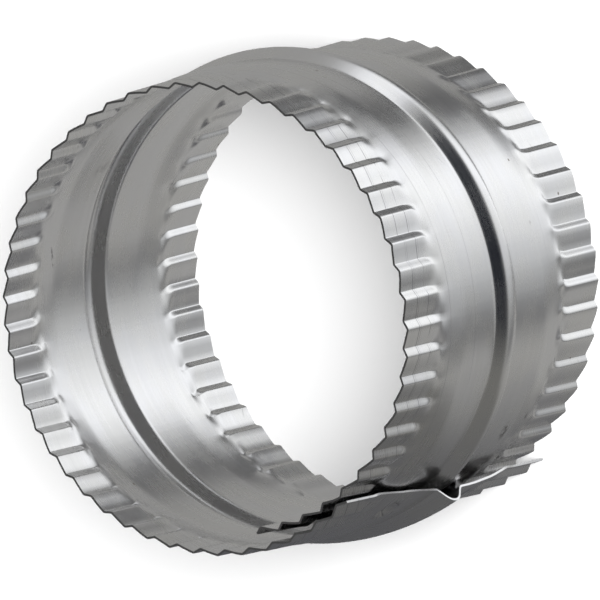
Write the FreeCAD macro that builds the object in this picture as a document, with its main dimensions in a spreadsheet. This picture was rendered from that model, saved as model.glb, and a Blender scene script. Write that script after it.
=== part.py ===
import FreeCAD, Part
import math
import os

from FreeCAD import Placement, Rotation, Vector

# A beaded sheet-metal duct connector: one aluminium sheet rolled into a sleeve, with a
# stiffening bead round its middle, crimped ends, and a lapped seam locked by two pressed
# buttons. +Z is the duct axis, the origin is the middle of the bottom end, and angles run
# anticlockwise from +X seen from above. Lengths are in millimetres, angles in degrees.

DIMENSIONS = {
    "sleeve_length": 76.2,
    "sheet_thickness": 0.45,
    "body_radius": 50.0,
    "flare_length": 8.0,
    "bead_above_middle": 1.4,
    "bead_width": 8.6,
    "bead_height": 2.0,
    "bead_crest_radius": 3.6,
    "crimps_per_turn": 53,
    "crimp_phase": 12.4,
    "crimp_depth": 0.95,
    "crimp_fade": 2.6,
    "bottom_crimp_length": 13.8,
    "bottom_rim_radius": 49.6,
    "bottom_throat_radius": 49.0,
    "bottom_step_share": 0.25,
    "top_crimp_length": 12.2,
    "top_rim_radius": 48.2,
    "top_throat_radius": 48.8,
    "top_step_share": 0.31,
    "tuck_start": 0.0,
    "tuck_shift": 1.9,
    "tuck_turn": 80.0,
    "spring_start": 262.0,
    "spring_shift": 4.2,
    "spring_turn": 44.8,
    "button_angle": -58.0,
    "button_from_bead": 13.7,
    "button_mouth_radius": 3.0,
    "button_floor_radius": 2.2,
    "button_wall": 0.4,
    "button_depth": 2.9,
    "button_lip_drop": 0.12,
}

doc = FreeCAD.newDocument("duct_connector")
sheet = doc.addObject("Spreadsheet::Sheet", "dimensions")
for row, (alias, value) in enumerate(DIMENSIONS.items(), start=1):
    sheet.set(f"A{row}", alias.replace("_", " "))
    sheet.set(f"B{row}", str(value))
    sheet.setAlias(f"B{row}", alias)
doc.recompute()


def size(alias):
    return float(getattr(sheet, alias))


LENGTH = size("sleeve_length")
HALF_SHEET = size("sheet_thickness") / 2
BEAD_MIDDLE = LENGTH / 2 + size("bead_above_middle")
OUTSIDE, INSIDE = 1, -1


# The rolled sheet in plan: a full-radius arc, and at the seam two arcs of other radii that
# are tangent to it. The inner leaf curls under and the outer leaf springs clear of it.

class Stretch:
    """An arc of the rolled sheet, turned about an axis shifted towards its joint."""

    def __init__(self, low, high, joint, shift):
        self.low, self.high = low, high
        self.joint, self.shift = joint, shift
        turn = math.radians(joint)
        self.centre = Vector(shift * math.cos(turn), shift * math.sin(turn), 0)

    def point(self, angle, radius, z):
        """Point at an angle about the stretch's own axis; radius is the round wall's."""
        turn = math.radians(angle)
        own = radius - self.shift
        return self.centre + Vector(own * math.cos(turn), own * math.sin(turn), z)

    def own_angle(self, duct_angle):
        """Angle about the stretch's own axis for a wall point seen from the duct's axis."""
        turn = math.radians(duct_angle - self.joint)
        own = size("body_radius") - self.shift
        return duct_angle + math.degrees(math.asin(self.shift * math.sin(turn) / own))


TUCK, SPRING = size("tuck_start"), size("spring_start")
INNER_LEAF = Stretch(TUCK - size("tuck_turn"), TUCK, TUCK, size("tuck_shift"))
ROUND_WALL = Stretch(TUCK, SPRING, 0.0, 0.0)
OUTER_LEAF = Stretch(SPRING, SPRING + size("spring_turn"), SPRING, -size("spring_shift"))
STRETCHES = (INNER_LEAF, ROUND_WALL, OUTER_LEAF)


class CrimpedEnd:
    """Heights and radii of one crimped end, from its rim inward to its root."""

    def __init__(self, name, rim, inward):
        self.name, self.rim = name, rim
        length, fade = size(f"{name}_crimp_length"), size("crimp_fade")
        self.rim_radius = size(f"{name}_rim_radius")
        self.throat_radius = size(f"{name}_throat_radius")
        self.step_share = size(f"{name}_step_share")
        self.root = rim + inward * length
        self.neck = rim + inward * (length - fade)
        self.flare_end = rim + inward * (length + size("flare_length"))
        narrowed = self.throat_radius - self.rim_radius
        self.neck_radius = self.rim_radius + narrowed * (1 - fade / length)


BOTTOM = CrimpedEnd("bottom", 0.0, 1)
TOP = CrimpedEnd("top", LENGTH, -1)


# The beaded band between the crimped ends, as a thin profile turned about the duct axis.

def bead_points(side):
    """One face's bead: its foot, the flank's two ends with the crest between, its foot."""
    half_width, height = size("bead_width") / 2, size("bead_height")
    crest = size("bead_crest_radius")
    drop = height - crest
    slope = math.atan2(drop, half_width) + math.asin(crest / math.hypot(half_width, drop))
    own_crest = crest + side * HALF_SHEET
    foot = half_width + side * HALF_SHEET * math.tan(slope / 2)
    places = ((side * HALF_SHEET, foot),
              (drop + own_crest * math.cos(slope), own_crest * math.sin(slope)),
              (drop + own_crest, 0))
    half = [(size("body_radius") + rise, offset) for rise, offset in places]
    whole = [(r, -z) for r, z in half] + [(r, z) for r, z in half[1::-1]]
    return [Vector(r, 0, BEAD_MIDDLE + z) for r, z in whole]


def face_edges(side):
    """Edges of one face of the band, from the bottom crimps' root to the top ones'."""
    body = size("body_radius") + side * HALF_SHEET
    low, high = ([Vector(end.throat_radius + side * HALF_SHEET, 0, end.root),
                  Vector(body, 0, end.flare_end)] for end in (BOTTOM, TOP))
    foot, flank, crest, far_flank, far_foot = bead_points(side)
    low += [foot, flank]
    high += [far_foot, far_flank]
    lines = [Part.makeLine(a, b) for a, b in list(zip(low, low[1:])) + list(zip(high, high[1:]))]
    return lines + [Part.Arc(flank, crest, far_flank).toShape()]


def root_line(end):
    return Part.makeLine(Vector(end.throat_radius - HALF_SHEET, 0, end.root),
                         Vector(end.throat_radius + HALF_SHEET, 0, end.root))


def band_profile():
    roots = [root_line(BOTTOM), root_line(TOP)]
    edges = face_edges(OUTSIDE) + face_edges(INSIDE) + roots
    return Part.Face(Part.Wire(Part.__sortEdges__(edges)))


profile = doc.addObject("Part::Feature", "band_profile")
profile.Shape = band_profile()


def turned_band(name, start, angle, shift):
    """The band's profile turned through an angle about an axis shifted from the duct's."""
    band = doc.addObject("Part::Revolution", name)
    band.Source = profile
    band.Axis = Vector(0, 0, 1)
    band.Solid = True
    band.setExpression("Base.x", shift)
    band.setExpression("Angle", angle)
    band.Placement = Placement(Vector(0, 0, 0), Rotation(Vector(0, 0, 1), 1))
    band.setExpression("Placement.Rotation.Angle", start)
    return band


bands = [
    turned_band("round_band", "dimensions.tuck_start",
                "dimensions.spring_start - dimensions.tuck_start", "0"),
    turned_band("inner_leaf_band", "dimensions.tuck_start",
                "-dimensions.tuck_turn", "dimensions.tuck_shift"),
    turned_band("outer_leaf_band", "dimensions.spring_start",
                "dimensions.spring_turn", "-dimensions.spring_shift"),
]


# The crimped ends. A crimp is a wide facet that climbs to a crest and a narrow one that
# steps back to the next valley; at its root the narrow facet closes to a point.

CREST, ROOT, VALLEY, CUT = "crest", "root", "valley", "cut"


class Mark:
    """A place along the rolled sheet where a crimp turns or takes root."""

    def __init__(self, kind, stretch, angle, height):
        self.kind, self.stretch, self.angle, self.height = kind, stretch, angle, height

    def at(self, radius, z, side):
        lift = self.height * size("crimp_depth") / 2
        return self.stretch.point(self.angle, radius + lift + side * HALF_SHEET, z)

    def rim_point(self, end, side):
        return self.at(end.rim_radius, end.rim, side)

    def neck_point(self, end, side):
        return self.at(end.neck_radius, end.neck, side)

    def root_point(self, end, side):
        radius = end.throat_radius + side * HALF_SHEET
        return self.stretch.point(self.angle, radius, end.root)


def crimp_marks(step_share):
    """Every crest, root and valley that the sheet holds, in order, between its two cuts."""
    pitch = 360 / size("crimps_per_turn")
    half_step = pitch * step_share / 2
    marks = []
    for stretch in STRETCHES:
        first = math.floor((stretch.low - size("crimp_phase")) / pitch) - 2
        last = math.ceil((stretch.high - size("crimp_phase")) / pitch) + 2
        for count in range(first, last + 1):
            middle = size("crimp_phase") + count * pitch
            turns = ((CREST, -half_step, 1), (ROOT, 0, 0), (VALLEY, half_step, -1))
            for kind, turn, height in turns:
                angle = stretch.own_angle(middle + turn)
                if stretch.low < angle <= stretch.high:
                    marks.append(Mark(kind, stretch, angle, height))
    # Both cuts fall in a wide facet: its height there is a share of the climb.
    climb = pitch - 2 * half_step
    start_height = 1 - 2 * (marks[0].angle - INNER_LEAF.low) / climb
    end_height = 2 * (OUTER_LEAF.high - marks[-1].angle) / climb - 1
    marks.insert(0, Mark(CUT, INNER_LEAF, INNER_LEAF.low, start_height))
    marks.append(Mark(CUT, OUTER_LEAF, OUTER_LEAF.high, end_height))
    return marks


def triangle(a, b, c):
    return Part.Face(Part.makePolygon([a, b, c, a]))


def facet(end, side, a, b):
    """A crimp's facet between two marks, from the rim to the neck."""
    rim_edge = Part.makeLine(a.rim_point(end, side), b.rim_point(end, side))
    neck_edge = Part.makeLine(a.neck_point(end, side), b.neck_point(end, side))
    return Part.makeRuledSurface(rim_edge, neck_edge).Faces


def creases(end, side, marks):
    """Flat creases that close the crimps between the neck and the root."""
    faces = []
    for crest, root, valley in zip(marks, marks[1:], marks[2:]):
        if root.kind == ROOT:
            faces.append(triangle(crest.neck_point(end, side), valley.neck_point(end, side),
                                  root.root_point(end, side)))
    roots = [mark for mark in marks if mark.kind in (ROOT, CUT)]
    for before, after in zip(roots, roots[1:]):
        low = marks[marks.index(before) + 1] if before.kind == ROOT else before
        high = marks[marks.index(after) - 1] if after.kind == ROOT else after
        apex, foot = low.neck_point(end, side), after.root_point(end, side)
        faces.append(triangle(apex, high.neck_point(end, side), foot))
        faces.append(triangle(apex, before.root_point(end, side), foot))
    return faces


def ring(points):
    """Flat face between the outside and the inside points of one end of the sheet."""
    outline = points[OUTSIDE] + points[INSIDE][::-1]
    return Part.Face(Part.makePolygon(outline + outline[:1]))


def crimped_solid(end):
    """A crimped end as a closed solid of sheet thickness."""
    marks = crimp_marks(end.step_share)
    turns = [mark for mark in marks if mark.kind != ROOT]
    roots = [mark for mark in marks if mark.kind in (ROOT, CUT)]
    sides = (OUTSIDE, INSIDE)
    faces = [ring({side: [mark.rim_point(end, side) for mark in turns] for side in sides}),
             ring({side: [mark.root_point(end, side) for mark in roots] for side in sides})]
    for cut in (marks[0], marks[-1]):
        places = (cut.rim_point, cut.neck_point, cut.root_point)
        faces.append(ring({side: [place(end, side) for place in places] for side in sides}))
    for side in sides:
        faces += creases(end, side, marks)
        for a, b in zip(turns, turns[1:]):
            faces += facet(end, side, a, b)
    skin = Part.makeCompound(faces)
    skin.sewShape()
    return Part.makeSolid(skin.Shells[0] if skin.Shells else skin)


def crimped_feature(end):
    feature = doc.addObject("Part::Feature", f"{end.name}_crimped_end")
    feature.Shape = crimped_solid(end)
    return feature


crimped_ends = [crimped_feature(BOTTOM), crimped_feature(TOP)]


# Two round buttons are pressed through both leaves of the lap, one each side of the bead.

def button_place(z, height):
    """Place on the outer leaf, along its own normal, at a height above the button's floor."""
    angle = OUTER_LEAF.own_angle(size("button_angle") + 360)
    level = size("body_radius") + HALF_SHEET - size("button_depth") + height
    outward = OUTER_LEAF.point(angle, level + 1, z) - OUTER_LEAF.point(angle, level, z)
    return Placement(OUTER_LEAF.point(angle, level, z), Rotation(Vector(0, 0, 1), outward))


def cone(name, place, floor_radius, mouth_radius, height):
    shape = doc.addObject("Part::Cone", name)
    shape.setExpression("Radius1", floor_radius)
    shape.setExpression("Radius2", mouth_radius)
    shape.setExpression("Height", height)
    shape.Placement = place
    return shape


cups, hollows = [], []
for name, side in (("bottom", -1), ("top", 1)):
    z = BEAD_MIDDLE + side * size("button_from_bead")
    cups.append(cone(f"{name}_button", button_place(z, 0),
                     "dimensions.button_floor_radius + dimensions.button_wall",
                     "dimensions.button_mouth_radius + dimensions.button_wall",
                     "dimensions.button_depth - dimensions.button_lip_drop"))
    hollows.append(cone(f"{name}_button_hollow", button_place(z, 2 * size("sheet_thickness")),
                        "dimensions.button_floor_radius", "dimensions.button_mouth_radius",
                        "dimensions.button_depth"))

buttoned_sheet = doc.addObject("Part::MultiFuse", "buttoned_sheet")
buttoned_sheet.Shapes = bands + crimped_ends + cups
button_hollows = doc.addObject("Part::Compound", "button_hollows")
button_hollows.Links = hollows
sleeve = doc.addObject("Part::Cut", "duct_sleeve")
sleeve.Base, sleeve.Tool = buttoned_sheet, button_hollows
sleeve.Label = "duct_sleeve"
doc.recompute()

for item in doc.Objects:
    failed = [state for state in item.State if state in ("Invalid", "Error")]
    if failed:
        raise RuntimeError(f"{item.Label} failed: {failed}")
if sleeve.Shape.isNull() or not sleeve.Shape.isValid() or len(sleeve.Shape.Solids) != 1:
    raise RuntimeError("the sleeve is not one valid solid")
os.makedirs("parts", exist_ok=True)
sleeve.Shape.exportStep("parts/duct_sleeve.step")
print("volume", round(sleeve.Shape.Volume), "faces", len(sleeve.Shape.Faces))
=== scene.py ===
import math
import random

import bpy
from mathutils import Matrix, Vector


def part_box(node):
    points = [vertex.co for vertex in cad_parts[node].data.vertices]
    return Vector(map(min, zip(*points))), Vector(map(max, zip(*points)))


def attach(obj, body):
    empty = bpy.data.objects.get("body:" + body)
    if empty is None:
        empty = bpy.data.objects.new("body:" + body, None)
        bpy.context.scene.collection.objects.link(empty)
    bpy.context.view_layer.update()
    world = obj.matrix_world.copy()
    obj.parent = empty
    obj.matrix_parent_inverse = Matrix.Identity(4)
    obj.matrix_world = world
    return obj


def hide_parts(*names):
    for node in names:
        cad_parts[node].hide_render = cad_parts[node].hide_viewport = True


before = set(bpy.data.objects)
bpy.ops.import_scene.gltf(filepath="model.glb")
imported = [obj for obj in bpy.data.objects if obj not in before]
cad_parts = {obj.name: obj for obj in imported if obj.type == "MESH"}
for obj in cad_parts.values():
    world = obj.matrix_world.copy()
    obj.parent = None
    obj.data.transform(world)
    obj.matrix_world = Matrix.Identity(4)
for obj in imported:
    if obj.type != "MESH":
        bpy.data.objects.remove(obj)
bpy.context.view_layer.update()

MM = 0.001

# Driving sizes of the sheet, in millimetres and degrees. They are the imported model's, but for
# the bead, 0.02 lower to stay inside the model's box, the narrower steps of the crimps, which
# follow the photograph, and the buttons' dimple, which is this script's own. Both cuts lie
# within a quarter of a degree of the model's. Angles run anticlockwise from +X about the
# duct's axis, and the sheet runs from its inner leaf's cut round to its outer leaf's cut.

LENGTH = (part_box("duct_sleeve")[1][2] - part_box("duct_sleeve")[0][2]) / MM
SHEET = 0.45
BODY = 50.0
FLARE = 8.0
BEAD_MIDDLE = LENGTH / 2 + 1.4
BEAD_WIDTH, BEAD_HEIGHT, BEAD_CREST = 8.6, 1.98, 3.6
CRIMPS_PER_TURN, CRIMP_PHASE, CRIMP_DEPTH = 53, 12.4, 0.95
PITCH = 360 / CRIMPS_PER_TURN
INNER_CUT, TUCK_START = -77.8, 0.0
SPRING_START, OUTER_CUT = 262.0, 310.3
BUTTON_ANGLE, BUTTON_OFFSET = -58.0, 13.7
BUTTON_MOUTH, BUTTON_FLOOR, BUTTON_DIMPLE = 3.0, 2.2, 0.9

# This script's own: how far the bead's feet and the wall's bends are eased, and the gap that
# stays between the leaves in a button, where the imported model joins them.

BEAD_FOOT, WALL_EASE = 0.35, 1.6
BUTTON_CLEARANCE = 0.02

# How the sheet behaves in the lap, which is this script's own too. The outer leaf springs off
# the round wall: least at the top rim, more over a range of depths from it, with a low hump.
# The inner leaf curls under, most at the top rim. On both leaves the crimps slip sideways and
# are deeper, and on the outer leaf their steps are wider and the bead is higher and leans.
# Near both cuts the crimps' pockets and sideways bends fade out.

SPRING_LEAST, SPRING_GAIN, SPRING_RANGE, SPRING_POWER = 0.2, 2.5, (18, 40), 1.4
HUMP_HEIGHT, HUMP_DEPTH, HUMP_REACH = 0.3, 46, 6
CURL_LEAST, CURL_GAIN, CURL_RANGE = 1.3, 3.3, (6, 30)
OUTER_SLIP, INNER_SLIP = 1.6, 1.2
OUTER_DEEPENED, INNER_DEEPENED, OUTER_WIDENED = 0.35, 0.45, 0.55
SPRUNG_BEAD_RISE, SPRUNG_BEAD_LEAN = 0.95, 0.8
CUT_FADE = (2.0, 10.0)


def smooth(low, high, x):
    """0 below low, 1 above high, and an even curve between them."""
    share = min(max((x - low) / (high - low), 0.0), 1.0)
    return share * share * (3 - 2 * share)


def bend(x, ease):
    """0 before 0 and x after it, with the corner rounded over the ease to each side."""
    if x <= -ease:
        return 0.0
    if x >= ease:
        return x
    return (x + ease) ** 2 / (4 * ease)


def ramp(low, high, x, ease):
    """A straight slope from 0 at low to 1 at high, with both its corners rounded."""
    return (bend(x - low, ease) - bend(x - high, ease)) / (high - low)


# The photograph's camera: yaw and tilt of the duct's axis, and where its middle lies.

YAW, TILT = math.radians(31.58), math.radians(7.62)
CAMERA_DISTANCE = 1.4788
FOCAL_PIXELS, PICTURE = 7086.5, 600
MIDDLE_RIGHT, MIDDLE_UP = -0.000187, 0.001035


def make_camera():
    away = Vector((
        math.sin(YAW) * math.cos(TILT), math.sin(TILT), -math.cos(YAW) * math.cos(TILT)
    ))
    right = Vector((0, 1, 0)).cross(-away).normalized()
    up = (-away).cross(right)
    to_view = Matrix((right, up, -away)).transposed()
    to_object = to_view.transposed()
    offset = to_object @ Vector((-MIDDLE_RIGHT, -MIDDLE_UP, CAMERA_DISTANCE))
    camera = bpy.data.objects.new("camera", bpy.data.cameras.new("camera"))
    bpy.context.collection.objects.link(camera)
    place = Vector((0, 0, LENGTH / 2 * MM)) + offset
    camera.matrix_world = Matrix.Translation(place) @ to_object.to_4x4()
    camera.data.lens = FOCAL_PIXELS * camera.data.sensor_width / PICTURE
    bpy.context.scene.camera = camera


# The crimped ends. A crimp has a crest, a narrow step down, a valley and a wide facet that
# climbs to the next crest. Its folds are sharp at the rim and run out softly at the root,
# where the crimping jaw leaves a small pocket, a bend in the crimp's line and a pucker.

FOLD_SHARE, TONGUE_SHARE = 0.7, 0.3
POCKET_BEYOND, POCKET_LENGTH, POCKET_WIDTH, POCKET_SPREAD = 0.9, 1.1, 1.3, 3
HOOK_START, HOOK_PEAK, HOOK_END, HOOK_SPREAD = -3.0, 0.8, 5.0, 3
PUCKER_BEFORE, PUCKER_LENGTH = 1.2, 1.1
STEP_CHANGE = (22, 54)

class CrimpedEnd:
    def __init__(self, length, rim_radius, throat_radius, step_share, fade, tongue, folds,
                 pinch, pocket, hook):
        self.length, self.tongue, self.pinch = length, tongue, pinch
        self.pocket, self.hook = pocket, hook
        self.rim_radius, self.throat_radius = rim_radius, throat_radius
        self.half_step = PITCH * step_share / 2
        self.fade = fade
        self.fold, self.root_fold = folds

    def wall_radius(self, depth):
        """The rolled wall's radius at a distance from the rim, without crimps or bead."""
        narrowed = self.throat_radius - self.rim_radius
        radius = self.rim_radius + narrowed * min(depth / self.length, 1.0)
        flared = BODY - self.throat_radius
        return radius + flared * ramp(self.length, self.length + FLARE, depth, WALL_EASE)

    def pressed(self, depth, crimp):
        """1 where the crimp is as deep as at the rim, 0 beyond its root."""
        low, high = self.fade
        fold = 1 - smooth(low + crimp.root, high + crimp.root, depth)
        tongue = 1 - smooth(low - 1, high + self.tongue, depth)
        return FOLD_SHARE * fold + TONGUE_SHARE * tongue

    def fold_width(self, depth, crimp):
        low, high = self.fade
        return self.fold + self.root_fold * smooth(low - 1 + crimp.root, high + 1, depth)

    def pocket_rise(self, depth, crimp, turn):
        """The small pocket that the crimping jaw's tip leaves just beyond each root."""
        beyond = depth - self.length - crimp.root - POCKET_BEYOND
        across = math.radians(turn) * BODY
        size = self.pocket * (1 + POCKET_SPREAD * (crimp.depth - 1))
        return size * math.exp(-(beyond / POCKET_LENGTH) ** 2 - (across / POCKET_WIDTH) ** 2)

    def hook_turn(self, depth, crimp):
        """How far the crimp's line bends sideways at its root, in degrees."""
        beyond = depth - self.length - crimp.root
        bent = smooth(HOOK_START, HOOK_PEAK, beyond)
        bent = bent * (1 - smooth(HOOK_PEAK, HOOK_END, beyond))
        return self.hook * (1 + HOOK_SPREAD * crimp.turn) * bent


BOTTOM = CrimpedEnd(13.8, 49.6, 49.0, 0.21, (12.3, 14.6), 1.5, (0.24, 0.3), 0.1, 0.38, -0.4)
TOP = CrimpedEnd(12.2, 48.2, 48.8, 0.28, (10.6, 13.0), 5.0, (0.22, 0.5), -0.1, -0.24, 0.12)


class Crimp:
    """One crimp's own small differences from its neighbours."""

    def __init__(self, dice):
        self.depth = dice.uniform(0.88, 1.1)
        self.turn = dice.uniform(-0.18, 0.18)
        self.root = dice.uniform(-0.55, 0.55)


def crimp_table(dice):
    return {(end, key): Crimp(dice) for end in (BOTTOM, TOP) for key in range(-20, 60)}


CRIMPS = crimp_table(random.Random(11))


def crimp_height(turn, half_step, fold):
    """1 at a crest and -1 at a valley, for an angle from the middle of a crimp's step."""
    facet = PITCH - 2 * half_step
    climb, drop = 2 / facet, 1 / half_step
    if abs(turn) <= half_step:
        height = -turn * drop
    else:
        height = (turn - half_step) % PITCH * climb - 1
    for corner, side in ((-half_step, -1), (half_step, 1)):
        gone = abs((turn - corner + PITCH / 2) % PITCH - PITCH / 2)
        if gone < fold:
            height += side * (climb + drop) * (fold - gone) ** 2 / (4 * fold)
    return height


# Lines of the sheet along the duct. Each crimp has nine, set by its step's two corners, the
# facet's share and the fold's width, so that they follow the crimp as its step narrows.

FOLD_COLUMN = 0.25
CRIMP_COLUMNS = (
    (-1, 0, -1), (-1, 0, 0), (-1, 0, 1),
    (0, 0, 0),
    (1, 0, -1), (1, 0, 0), (1, 0, 1),
    (1, 0.36, 0), (1, 0.68, 0),
)


def on_outer_leaf(angle):
    """0 where the outer leaf leaves the round wall, 1 at its cut."""
    return min(max((angle - SPRING_START) / (OUTER_CUT - SPRING_START), 0.0), 1.2)


def on_inner_leaf(angle):
    return min(max((TUCK_START - angle) / (TUCK_START - INNER_CUT), 0.0), 1.2)


class Column:
    def __init__(self, crimp, corner, share, fold, cut=None):
        self.crimp = crimp
        self.corner, self.share, self.fold = corner, share, fold
        self.cut = cut
        middle = CRIMP_PHASE + crimp * PITCH
        outer, inner = on_outer_leaf(middle), on_inner_leaf(middle)
        self.middle = middle + OUTER_SLIP * outer - INNER_SLIP * inner
        self.widened = 1 + OUTER_WIDENED * outer
        self.deepened = 1 + OUTER_DEEPENED * outer + INNER_DEEPENED * inner
        to_cut = min(self.middle - INNER_CUT, OUTER_CUT - self.middle)
        self.clear = smooth(*CUT_FADE, to_cut)
        self.leaf = 0
        if self.angle(0) > SPRING_START:
            self.leaf = 1
        elif self.angle(0) < TUCK_START:
            self.leaf = -1

    def half_step(self, z):
        change = smooth(*STEP_CHANGE, z)
        step = BOTTOM.half_step + (TOP.half_step - BOTTOM.half_step) * change
        return step * self.widened

    def turn(self, z):
        """Angle from the middle of the crimp's step."""
        if self.cut is not None:
            return self.cut - self.middle
        step = self.half_step(z)
        facet = PITCH - 2 * step
        return self.corner * step + self.share * facet + self.fold * FOLD_COLUMN

    def angle(self, z):
        return self.middle + self.turn(z)


def make_columns():
    first = math.floor((INNER_CUT - CRIMP_PHASE) / PITCH) - 1
    last = math.ceil((OUTER_CUT - CRIMP_PHASE) / PITCH) + 1
    columns = []
    for crimp in range(first, last + 1):
        for corner, share, fold in CRIMP_COLUMNS:
            column = Column(crimp, corner, share, fold)
            places = (column.angle(0), column.angle(LENGTH))
            if min(places) > INNER_CUT + 0.1 and max(places) < OUTER_CUT - 0.1:
                columns.append(column)
    low_cut = Column(columns[0].crimp, 0, 0, 0, INNER_CUT)
    high_cut = Column(columns[-1].crimp, 0, 0, 0, OUTER_CUT)
    return [low_cut] + columns + [high_cut]


# Rows of the sheet round the duct: close together at the crimps' roots, the buttons and
# the bead. Each run is a start and a number of even steps to the next run.

ROW_RUNS = (
    (0.0, 4), (10.4, 12), (16.4, 3), (22.4, 11), (29.2, 2),
    (33.9, 26), (45.1, 2), (49.8, 11), (56.6, 2), (60.2, 14), (68.0, 4),
)


def make_rows():
    rows = []
    ends = [start for start, count in ROW_RUNS[1:]] + [LENGTH]
    for (start, count), end in zip(ROW_RUNS, ends):
        rows += [start + (end - start) * step / count for step in range(count)]
    return rows + [LENGTH]


# How far each point of the sheet stands off the duct's axis.

def bead_rise(offset, height, lean):
    """Height of the bead's rounded V at a distance from its middle, eased at its feet."""
    half_width = BEAD_WIDTH / 2
    offset -= lean * max(1 - (offset / half_width) ** 2, 0.0)
    drop = height - BEAD_CREST
    slope = math.atan2(drop, half_width) + math.asin(BEAD_CREST / math.hypot(half_width, drop))
    if abs(offset) < BEAD_CREST * math.sin(slope):
        return drop + math.sqrt(BEAD_CREST**2 - offset**2)
    return bend(half_width - abs(offset), BEAD_FOOT) * math.tan(slope)


def lap_lift(angle, z):
    """How far the outer leaf has sprung off the round wall, or the inner leaf curled under."""
    depth = LENGTH - z
    if angle > SPRING_START:
        hump = math.exp(-((depth - HUMP_DEPTH) / HUMP_REACH) ** 2)
        spring = SPRING_LEAST + SPRING_GAIN * smooth(*SPRING_RANGE, depth) + HUMP_HEIGHT * hump
        turn, whole = (math.radians(a - SPRING_START) for a in (angle, OUTER_CUT))
        return spring * ((1 - math.cos(turn)) / (1 - math.cos(whole))) ** SPRING_POWER
    if angle < TUCK_START:
        curl = CURL_LEAST + CURL_GAIN * (1 - smooth(*CURL_RANGE, depth))
        return -curl * (1 - math.cos(math.radians(angle - TUCK_START)))
    return 0.0


def leaf_radius(angle, z):
    """The sheet's middle surface without crimps and buttons."""
    end, depth = (BOTTOM, z) if z < BEAD_MIDDLE else (TOP, LENGTH - z)
    sprung = on_outer_leaf(angle) ** 2
    height, lean = BEAD_HEIGHT + SPRUNG_BEAD_RISE * sprung, SPRUNG_BEAD_LEAN * sprung
    bead = bead_rise(z - BEAD_MIDDLE, height, lean)
    return end.wall_radius(depth) + bead + lap_lift(angle, z)


def button_sink(leaf, angle, z):
    """How far the two locking buttons are pressed into each leaf of the lap."""
    if leaf == 0:
        return 0.0
    across = BUTTON_ANGLE + (360 if leaf > 0 else 0)
    along = math.radians(angle - across) * BODY
    gone = math.hypot(along, abs(z - BEAD_MIDDLE) - BUTTON_OFFSET)
    pressed = 1 - smooth(BUTTON_FLOOR, BUTTON_MOUTH, gone)
    gap = 0.0
    if leaf > 0 and pressed > 0:
        gap = leaf_radius(angle, z) - leaf_radius(angle - 360, z) - SHEET
        gap -= BUTTON_CLEARANCE
    return pressed * (gap + BUTTON_DIMPLE)


def sheet_point(column, z):
    """Middle surface of the formed sheet at a column and a height."""
    end, depth = (BOTTOM, z) if z < BEAD_MIDDLE else (TOP, LENGTH - z)
    crimp = CRIMPS[end, column.crimp]
    pressed = end.pressed(depth, crimp)
    angle = column.angle(z)
    radius = leaf_radius(angle, z)
    height = crimp_height(column.turn(z), column.half_step(z), end.fold_width(depth, crimp))
    radius += height * crimp.depth * column.deepened * pressed * CRIMP_DEPTH / 2
    if column.cut is None:
        radius += end.pocket_rise(depth, crimp, column.turn(z)) * column.clear
    radius -= button_sink(column.leaf, angle, z)
    before = depth - end.length - crimp.root + PUCKER_BEFORE
    pucker = math.exp(-(before / PUCKER_LENGTH) ** 2)
    if column.cut is None:
        angle += (crimp.turn * pressed - end.hook_turn(depth, crimp)) * column.clear
        if column.share == 0:
            angle += column.corner * end.pinch * pucker * column.half_step(z)
    turn = math.radians(angle)
    return Vector((radius * math.cos(turn), radius * math.sin(turn), z)) * MM


UNROLLED_SPAN = 100
SHARP_CORNER = math.radians(50)


def make_sleeve():
    """The flat blank is a grid; its columns and rows are then pressed and rolled."""
    columns, rows = make_columns(), make_rows()
    bpy.ops.object.select_all(action="DESELECT")
    bpy.ops.mesh.primitive_grid_add(
        x_subdivisions=len(columns) - 1, y_subdivisions=len(rows) - 1, size=2, location=(0, 0, 0)
    )
    sleeve = bpy.context.active_object
    sleeve.name = sleeve.data.name = "rolled_sheet"
    flat = {}
    for vertex in sleeve.data.vertices:
        column = columns[round((vertex.co.x + 1) / 2 * (len(columns) - 1))]
        row = rows[round((vertex.co.y + 1) / 2 * (len(rows) - 1))]
        along = math.radians(column.angle(LENGTH / 2)) * BODY
        flat[vertex.index] = (along / UNROLLED_SPAN, row / UNROLLED_SPAN)
        vertex.co = sheet_point(column, row)
    unrolled = sleeve.data.uv_layers.active or sleeve.data.uv_layers.new()
    unrolled.name = "unrolled"
    for loop in sleeve.data.loops:
        unrolled.data[loop.index].uv = flat[loop.vertex_index]
    thicken = sleeve.modifiers.new("thicken", "SOLIDIFY")
    thicken.thickness = SHEET * MM
    thicken.offset = 0
    thicken.use_even_offset = True
    thicken.material_offset_rim = 1
    bpy.ops.object.modifier_apply(modifier="thicken")
    for vertex in sleeve.data.vertices:
        vertex.co.z = min(max(vertex.co.z, 0.0), LENGTH * MM)
    bpy.ops.object.mode_set(mode="EDIT")
    bpy.ops.mesh.select_all(action="SELECT")
    bpy.ops.mesh.normals_make_consistent(inside=False)
    bpy.ops.object.mode_set(mode="OBJECT")
    bpy.ops.object.shade_smooth_by_angle(angle=SHARP_CORNER)
    outside = sleeve.data.attributes.new("outside", "FLOAT", "POINT")
    for vertex in sleeve.data.vertices:
        outward = vertex.normal.x * vertex.co.x + vertex.normal.y * vertex.co.y
        outside.data[vertex.index].value = 1.0 if outward > 0 else 0.0
    return sleeve


# Finishes. What more than one of them uses is a node group, read on the piece's own place.

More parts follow.
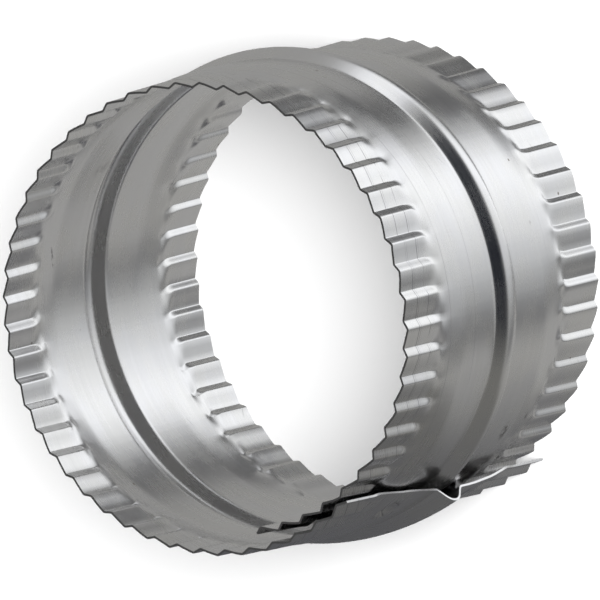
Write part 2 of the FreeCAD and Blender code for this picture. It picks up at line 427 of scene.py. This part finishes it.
class Nodes:
    """Short words for adding and joining the nodes of one tree."""

    def __init__(self, tree):
        self.tree = tree

    def add(self, kind, **settings):
        node = self.tree.nodes.new(kind)
        for name, value in settings.items():
            setattr(node, name, value)
        return node

    def join(self, source, target):
        if isinstance(source, (int, float, tuple)):
            target.default_value = source
        else:
            self.tree.links.new(source, target)

    def maths(self, operation, *values):
        node = self.add("ShaderNodeMath", operation=operation)
        for value, socket in zip(values, node.inputs):
            self.join(value, socket)
        return node.outputs[0]

    def change(self, value, start, end, low=0.0, high=1.0, kind="SMOOTHSTEP"):
        """Low at start and high at end, with a smooth change between them."""
        node = self.add("ShaderNodeMapRange", interpolation_type=kind)
        self.join(value, node.inputs["Value"])
        marks = {"From Min": start, "From Max": end, "To Min": low, "To Max": high}
        for name, number in marks.items():
            self.join(number, node.inputs[name])
        return node.outputs["Result"]

    def blend(self, mask, first, second):
        """The first colour where the mask is 0 and the second where it is 1."""
        node = self.add("ShaderNodeMix", data_type="RGBA")
        self.join(mask, node.inputs["Factor"])
        sockets = [socket for socket in node.inputs if socket.type == "RGBA"]
        for colour, socket in zip((first, second), sockets):
            self.join((*colour, 1) if isinstance(colour, tuple) else colour, socket)
        return next(socket for socket in node.outputs if socket.type == "RGBA")

    def noise(self, place, scale, detail=2.0, roughness=0.5):
        node = self.add("ShaderNodeTexNoise")
        self.join(place, node.inputs["Vector"])
        for name, value in (("Scale", scale), ("Detail", detail), ("Roughness", roughness)):
            self.join(value, node.inputs[name])
        return node.outputs["Fac"]

    def stretched(self, place, scale):
        """A place multiplied axis by axis, so that what is drawn on it is drawn out."""
        node = self.add("ShaderNodeVectorMath", operation="MULTIPLY")
        self.join(place, node.inputs[0])
        self.join(scale, node.inputs[1])
        return node.outputs["Vector"]


def make_group(name, inputs, outputs):
    """A node group with number inputs and outputs, and its nodes' short words."""
    tree = bpy.data.node_groups.new(name, "ShaderNodeTree")
    for label, value in inputs.items():
        socket = tree.interface.new_socket(label, in_out="INPUT", socket_type="NodeSocketFloat")
        socket.default_value = value
    for label in outputs:
        tree.interface.new_socket(label, in_out="OUTPUT", socket_type="NodeSocketFloat")
    nodes = Nodes(tree)
    return tree, nodes, nodes.add("NodeGroupInput"), nodes.add("NodeGroupOutput")


def rolled_grain():
    """The mill's rolling grain: fine streaks round the duct and a slow mottle."""
    tree, nodes, given, made = make_group("rolled_grain", {"Fineness": 1.0}, ("Streaks", "Mottle"))
    unrolled = nodes.add("ShaderNodeUVMap", uv_map="unrolled").outputs["UV"]
    scaled = nodes.add("ShaderNodeVectorMath", operation="SCALE")
    nodes.join(unrolled, scaled.inputs[0])
    nodes.join(given.outputs["Fineness"], scaled.inputs["Scale"])
    fine = nodes.noise(nodes.stretched(scaled.outputs["Vector"], (1.3, 330.0, 1.0)), 1.0, 3.0, 0.6)
    broad = nodes.noise(nodes.stretched(scaled.outputs["Vector"], (1.6, 70.0, 1.0)), 1.0, 2.0)
    streaks = nodes.maths("ADD", nodes.maths("MULTIPLY", fine, 0.6),
                          nodes.maths("MULTIPLY", broad, 0.4))
    nodes.join(streaks, made.inputs["Streaks"])
    nodes.join(nodes.noise(scaled.outputs["Vector"], 9.0, 4.0, 0.6), made.inputs["Mottle"])
    return tree


# Lines that the crimping rollers left round the duct: how far from the rim each lies and
# how wide and dark it is, in millimetres and shares.

TOP_LINES = ((4.3, 0.13, 0.8), (4.9, 0.09, 0.5), (8.4, 0.13, 0.85), (9.0, 0.08, 0.4),
             (15.9, 0.10, 0.35), (19.8, 0.09, 0.30), (24.7, 0.10, 0.36), (56.5, 0.08, 0.14))


def roller_lines():
    """Dark hairlines round the duct, each broken up along its length."""
    tree, nodes, given, made = make_group("roller_lines", {"Breaks": 1.0}, ("Lines",))
    place = nodes.add("ShaderNodeTexCoord").outputs["Object"]
    axes = nodes.add("ShaderNodeSeparateXYZ")
    nodes.join(place, axes.inputs[0])
    wander = nodes.noise(nodes.stretched(place, (30.0, 30.0, 2.0)), 1.0, 2.0)
    depth = nodes.maths("SUBTRACT", LENGTH * MM, axes.outputs["Z"])
    depth = nodes.maths("MULTIPLY_ADD", wander, 0.0007, depth)
    broken = nodes.noise(nodes.stretched(place, (90.0, 90.0, 900.0)), 1.0, 3.0, 0.7)
    broken = nodes.change(nodes.maths("MULTIPLY", broken, given.outputs["Breaks"]), 0.36, 0.56)
    lines = None
    for middle, width, share in TOP_LINES:
        gone = nodes.maths("ABSOLUTE", nodes.maths("SUBTRACT", depth, middle * MM + 0.00035))
        line = nodes.change(gone, width * MM, 0.2 * width * MM, 0.0, share)
        lines = line if lines is None else nodes.maths("MAXIMUM", lines, line)
    nodes.join(nodes.maths("MULTIPLY", lines, broken), made.inputs["Lines"])
    return tree


# Two runs of short scratches: the turn of each in degrees, and how finely it is drawn.

SCRATCH_RUNS = ((12.0, (9.0, 150.0, 1.0)), (-24.0, (14.0, 220.0, 1.0)))


def scuffs():
    """Short scratches and small dark specks, few and far apart."""
    tree, nodes, given, made = make_group("scuffs", {"Amount": 1.0}, ("Scratches", "Specks"))
    unrolled = nodes.add("ShaderNodeUVMap", uv_map="unrolled").outputs["UV"]
    marks = None
    for number, (turn, scale) in enumerate(SCRATCH_RUNS):
        turned = nodes.add("ShaderNodeVectorRotate", rotation_type="Z_AXIS")
        nodes.join(unrolled, turned.inputs["Vector"])
        nodes.join(math.radians(turn), turned.inputs["Angle"])
        drawn = nodes.noise(nodes.stretched(turned.outputs["Vector"], scale), 1.0, 1.0)
        where = nodes.noise(turned.outputs["Vector"], 4.0 + number, 1.0)
        thin = nodes.change(drawn, 0.70, 0.76)
        mark = nodes.maths("MULTIPLY", thin, nodes.change(where, 0.64, 0.72))
        marks = mark if marks is None else nodes.maths("MAXIMUM", marks, mark)
    nodes.join(nodes.maths("MULTIPLY", marks, given.outputs["Amount"]), made.inputs["Scratches"])
    cells = nodes.add("ShaderNodeTexVoronoi", voronoi_dimensions="2D")
    nodes.join(unrolled, cells.inputs["Vector"])
    nodes.join(11.0, cells.inputs["Scale"])
    near = nodes.change(cells.outputs["Distance"], 0.045, 0.02)
    few = nodes.add("ShaderNodeSeparateColor")
    nodes.join(cells.outputs["Color"], few.inputs["Color"])
    specks = nodes.maths("MULTIPLY", near, nodes.change(few.outputs["Red"], 0.97, 0.985))
    nodes.join(nodes.maths("MULTIPLY", specks, given.outputs["Amount"]), made.inputs["Specks"])
    return tree


# Marks of handling that the photograph shows: where each lies on the unrolled sheet and its
# half length and half width, in hundreds of millimetres, its turn in degrees, how dark it
# is, and whether it is on the outer face.

MARKS = (
    ((-0.325, 0.254), (0.034, 0.018), 12, 0.90, True),
    ((-0.303, 0.175), (0.020, 0.009), 35, 0.80, True),
    ((0.133, 0.239), (0.007, 0.005), 0, 0.35, True),
    ((1.462, 0.571), (0.036, 0.006), -23, 0.75, False),
    ((1.272, 0.466), (0.036, 0.022), 60, 0.30, False),
)


def handling_marks():
    """A few faint scuffs, each broken up so that no edge of it is clean."""
    tree, nodes, given, made = make_group("handling_marks", {"Outside": 1.0}, ("Marks",))
    unrolled = nodes.add("ShaderNodeUVMap", uv_map="unrolled").outputs["UV"]
    inside = nodes.maths("SUBTRACT", 1.0, given.outputs["Outside"])
    marks = None
    for (along, up), (half_length, half_width), turn, share, outer in MARKS:
        moved = nodes.add("ShaderNodeVectorMath", operation="SUBTRACT")
        nodes.join(unrolled, moved.inputs[0])
        nodes.join((along, up, 0.0), moved.inputs[1])
        turned = nodes.add("ShaderNodeVectorRotate", rotation_type="Z_AXIS")
        nodes.join(moved.outputs["Vector"], turned.inputs["Vector"])
        nodes.join(math.radians(-turn), turned.inputs["Angle"])
        gone = nodes.add("ShaderNodeVectorMath", operation="LENGTH")
        scale = (1 / half_length, 1 / half_width, 0.0)
        nodes.join(nodes.stretched(turned.outputs["Vector"], scale), gone.inputs[0])
        mark = nodes.change(gone.outputs["Value"], 1.0, 0.2, 0.0, share)
        mark = nodes.maths("MULTIPLY", mark, given.outputs["Outside"] if outer else inside)
        marks = mark if marks is None else nodes.maths("MAXIMUM", marks, mark)
    broken = nodes.change(nodes.noise(unrolled, 90.0, 3.0, 0.6), 0.42, 0.54)
    nodes.join(nodes.maths("MULTIPLY", marks, broken), made.inputs["Marks"])
    return tree


GROUPS = {
    "grain": rolled_grain(), "lines": roller_lines(), "scuffs": scuffs(),
    "handling": handling_marks(),
}


def placed(nodes, name, **inputs):
    group = nodes.add("ShaderNodeGroup", node_tree=GROUPS[name])
    for label, value in inputs.items():
        nodes.join(value, group.inputs[label])
    return group.outputs


def finish_nodes(name, metallic):
    material = bpy.data.materials.new(name)
    material.use_nodes = True
    shader = material.node_tree.nodes["Principled BSDF"]
    shader.inputs["Metallic"].default_value = metallic
    return material, Nodes(material.node_tree), shader


# The metal's own colours and those of its marks.

COOL_METAL, WARM_METAL = (0.785, 0.782, 0.792), (0.815, 0.810, 0.800)
STREAKED, SCRATCHED = (0.70, 0.70, 0.70), (0.5, 0.5, 0.5)
ROLLER_LINE, SPECK, SCUFF = (0.16, 0.16, 0.17), (0.3, 0.27, 0.25), (0.26, 0.25, 0.25)
TORN_DARK, TORN_PALE = (0.44, 0.44, 0.45), (0.62, 0.62, 0.63)


def sheet_material():
    """Mill-finish aluminium: a soft mirror, streaked round the duct, with roller lines."""
    material, nodes, shader = finish_nodes("mill_aluminium", 1.0)
    grain = placed(nodes, "grain", Fineness=1.0)
    outside = nodes.add("ShaderNodeAttribute", attribute_name="outside").outputs["Fac"]
    lines = nodes.maths("MULTIPLY", placed(nodes, "lines", Breaks=1.0)["Lines"],
                        nodes.change(outside, 0.0, 1.0, 0.12, 1.0))
    handling = placed(nodes, "handling", Outside=outside)["Marks"]
    marks = placed(nodes, "scuffs", Amount=1.0)
    tint = nodes.change(grain["Mottle"], 0.38, 0.62)
    metal = nodes.blend(tint, COOL_METAL, WARM_METAL)
    streak = nodes.change(grain["Streaks"], 0.35, 0.65)
    metal = nodes.blend(nodes.maths("MULTIPLY", streak, 0.25), metal, STREAKED)
    metal = nodes.blend(lines, metal, ROLLER_LINE)
    metal = nodes.blend(nodes.maths("MULTIPLY", marks["Scratches"], 0.3), metal, SCRATCHED)
    metal = nodes.blend(marks["Specks"], metal, SPECK)
    metal = nodes.blend(handling, metal, SCUFF)
    nodes.join(metal, shader.inputs["Base Color"])
    rough = nodes.maths("ADD", nodes.change(grain["Mottle"], 0.3, 0.7, 0.22, 0.28),
                        nodes.maths("MULTIPLY", streak, 0.03))
    worn = nodes.maths("MAXIMUM", nodes.maths("MAXIMUM", lines, handling), marks["Scratches"])
    rough = nodes.maths("MULTIPLY_ADD", worn, 0.15, rough)
    nodes.join(rough, shader.inputs["Roughness"])
    relief = nodes.maths("MULTIPLY_ADD", grain["Mottle"], 0.3, grain["Streaks"])
    relief = nodes.maths("SUBTRACT", relief, nodes.maths("MULTIPLY", lines, 0.5))
    bump = nodes.add("ShaderNodeBump")
    nodes.join(0.22, bump.inputs["Strength"])
    nodes.join(0.00002, bump.inputs["Distance"])
    nodes.join(relief, bump.inputs["Height"])
    nodes.join(bump.outputs["Normal"], shader.inputs["Normal"])
    return material


def cut_edge_material():
    """The sheared edge: duller than the sheet, torn lengthways by the shear."""
    material, nodes, shader = finish_nodes("sheared_edge", 1.0)
    grain = placed(nodes, "grain", Fineness=3.0)
    torn = nodes.change(grain["Mottle"], 0.4, 0.6)
    nodes.join(nodes.blend(torn, TORN_DARK, TORN_PALE), shader.inputs["Base Color"])
    nodes.join(nodes.change(grain["Mottle"], 0.3, 0.7, 0.42, 0.26), shader.inputs["Roughness"])
    return material


# Light: a tent of soft light stands round the duct, dim for the most part, with soft boxes
# and dark cards in it. Each is a window in azimuth and in height above the duct's middle.

TENT_RADIUS = 0.7
DIM = (0.360, 0.358, 0.349)
ROOM = (0.06, 0.06, 0.06)
DUSK = (0.180, 0.178, 0.168)
LEFT_CARD, RIGHT_CARD = (0.10, 0.10, 0.10), (0.17, 0.17, 0.17)
NIGHT = (0.004, 0.006, 0.012)
STRIP = (1.22, 1.24, 1.27)
BOX_EDGE, BOX_MIDDLE = (0.53, 0.54, 0.545), (1.24, 1.26, 1.28)
UNDER = (0.410, 0.407, 0.396)
# The table card's colour is painted shade: the shadow of a table under the duct.
PAINTED_TABLE_SHADE = (0.100, 0.101, 0.108)
TABLE_HEIGHT = -0.062
KEY_WAY, KEY_DISTANCE, KEY_SIZE, KEY_POWER = (0.524, 0.113, 0.844), 1.7, 0.9, 42
ROOM_GREY, FLOOR_GREY, FLOOR_SIZE = (0.4, 0.4, 0.4, 1), (0.9, 0.9, 0.9, 1), 12


class Tent(Nodes):
    """The nodes that say how bright the tent is in each direction from the duct's middle."""

    def __init__(self, tree):
        super().__init__(tree)
        place = self.add("ShaderNodeTexCoord").outputs["Object"]
        middle = self.add("ShaderNodeVectorMath", operation="SUBTRACT")
        self.join(place, middle.inputs[0])
        self.join((0, 0, LENGTH / 2 * MM), middle.inputs[1])
        direction = self.add("ShaderNodeVectorMath", operation="NORMALIZE")
        self.join(middle.outputs["Vector"], direction.inputs[0])
        axes = self.add("ShaderNodeSeparateXYZ")
        self.join(direction.outputs["Vector"], axes.inputs[0])
        self.height = axes.outputs["Z"]
        self.azimuth = self.maths("ARCTAN2", axes.outputs["Y"], axes.outputs["X"])
        self.light = DIM

    def window(self, azimuths, heights):
        """Azimuths in degrees and heights where it opens, is open, still is, and is shut."""
        mask = None
        turns = [math.radians(a) for a in azimuths]
        for value, marks in ((self.azimuth, turns), (self.height, heights)):
            for start, end in ((marks[0], marks[1]), (marks[3], marks[2])):
                edge = self.change(value, start, end)
                mask = edge if mask is None else self.maths("MULTIPLY", mask, edge)
        return mask

    def put(self, mask, colour):
        """Puts a colour of light where the mask is open."""
        self.light = self.blend(mask, self.light, colour)

    def fading(self, low, high, start, end):
        """A light that goes from one colour to another across an azimuth."""
        turns = math.radians(start), math.radians(end)
        return self.blend(self.change(self.azimuth, *turns, kind="LINEAR"), low, high)


def tent_material():
    material = bpy.data.materials.new("tent_light")
    material.use_nodes = True
    tree = material.node_tree
    tree.nodes.remove(tree.nodes["Principled BSDF"])
    tent = Tent(tree)
    tent.put(tent.window((-400, -390, 390, 400), (0.45, 0.75, 1.1, 1.2)), ROOM)
    tent.put(tent.window((-150, -135, -38, -26), (-1.2, -1.1, -0.7, -0.5)), UNDER)
    tent.put(tent.window((-130, -105, -25, -15), (-0.35, -0.12, 0.45, 0.75)), DUSK)
    tent.put(tent.window((30, 40, 92, 106), (-1.2, -1.1, -0.5, -0.3)), LEFT_CARD)
    tent.put(tent.window((-35, -25, 30, 40), (-1.2, -1.1, -0.5, -0.3)), RIGHT_CARD)
    tent.put(tent.window((-24, 0, 48, 82), (-1.2, -1.1, -0.34, -0.08)),
             tent.fading(BOX_EDGE, BOX_MIDDLE, -4, 40))
    tent.put(tent.window((-30, -16, 58, 72), (-0.27, -0.08, 0.6, 0.9)), NIGHT)
    tent.put(tent.window((65, 77, 84, 101), (-0.60, -0.42, 0.5, 0.77)), STRIP)
    glow = tent.add("ShaderNodeEmission")
    tent.join(tent.light, glow.inputs["Color"])
    tent.join(glow.outputs["Emission"], tree.nodes["Material Output"].inputs["Surface"])
    return material


def shade_material():
    """Painted shade: a card that stands in for the shaded table below the lap, darkest under the
    duct and fading into the tent.
    """
    material = bpy.data.materials.new("table_shade")
    material.use_nodes = True
    tree = material.node_tree
    tree.nodes.remove(tree.nodes["Principled BSDF"])
    shade = Nodes(tree)
    place = shade.add("ShaderNodeSeparateXYZ")
    shade.join(shade.add("ShaderNodeTexCoord").outputs["Object"], place.inputs[0])
    far = shade.change(place.outputs["X"], -0.01, 0.10)
    glow = shade.add("ShaderNodeEmission")
    beyond = shade.blend(shade.change(place.outputs["Z"], -0.02, 0.02), DIM, DUSK)
    shade.join(shade.blend(far, PAINTED_TABLE_SHADE, beyond), glow.inputs["Color"])
    shade.join(glow.outputs["Emission"], tree.nodes["Material Output"].inputs["Surface"])
    return material


def stage_light(name, material):
    """Finishes a new primitive as a surface that only shows in the metal's reflections."""
    surface = bpy.context.active_object
    surface.name = surface.data.name = name
    bpy.ops.object.transform_apply()
    surface.data.materials.append(material)
    surface.visible_camera = surface.visible_diffuse = surface.visible_shadow = False


def make_light():
    bpy.ops.object.select_all(action="DESELECT")
    bpy.ops.mesh.primitive_uv_sphere_add(
        segments=48, ring_count=24, radius=TENT_RADIUS, location=(0, 0, LENGTH / 2 * MM)
    )
    stage_light("light_tent", tent_material())
    # A card of painted shade, standing in for a shaded table below the lap, seen only in the
    # metal's reflections.
    bpy.ops.object.select_all(action="DESELECT")
    bpy.ops.mesh.primitive_plane_add(
        size=1, location=(0.005, TABLE_HEIGHT, 0.0075), rotation=(math.radians(90), 0, 0)
    )
    bpy.context.active_object.scale = (0.19, 0.165, 1)
    stage_light("table_shade", shade_material())
    world = bpy.data.worlds.new("room")
    bpy.context.scene.world = world
    world.use_nodes = True
    world.node_tree.nodes["Background"].inputs["Color"].default_value = ROOM_GREY
    lamp = bpy.data.lights.new("key", "AREA")
    lamp.shape, lamp.size, lamp.energy = "DISK", KEY_SIZE, KEY_POWER
    key = bpy.data.objects.new("key", lamp)
    bpy.context.collection.objects.link(key)
    key.location = Vector(KEY_WAY) * KEY_DISTANCE
    key.rotation_mode = "QUATERNION"
    key.rotation_quaternion = key.location.to_track_quat("Z", "Y")
    key.visible_glossy = False


def make_floor():
    bpy.ops.object.select_all(action="DESELECT")
    bpy.ops.mesh.primitive_plane_add(size=FLOOR_SIZE, location=(0, 0, 0))
    floor = bpy.context.active_object
    floor.name = floor.data.name = "floor"
    material = bpy.data.materials.new("pale_floor")
    material.use_nodes = True
    shader = material.node_tree.nodes["Principled BSDF"]
    shader.inputs["Base Color"].default_value = FLOOR_GREY
    shader.inputs["Roughness"].default_value = 0.9
    floor.data.materials.append(material)
    floor.visible_glossy = False


make_camera()
make_light()
make_floor()
sleeve = make_sleeve()
sleeve.data.materials.append(sheet_material())
sleeve.data.materials.append(cut_edge_material())
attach(sleeve, "root")
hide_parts("duct_sleeve")

bpy.context.scene.view_settings.view_transform = "Standard"
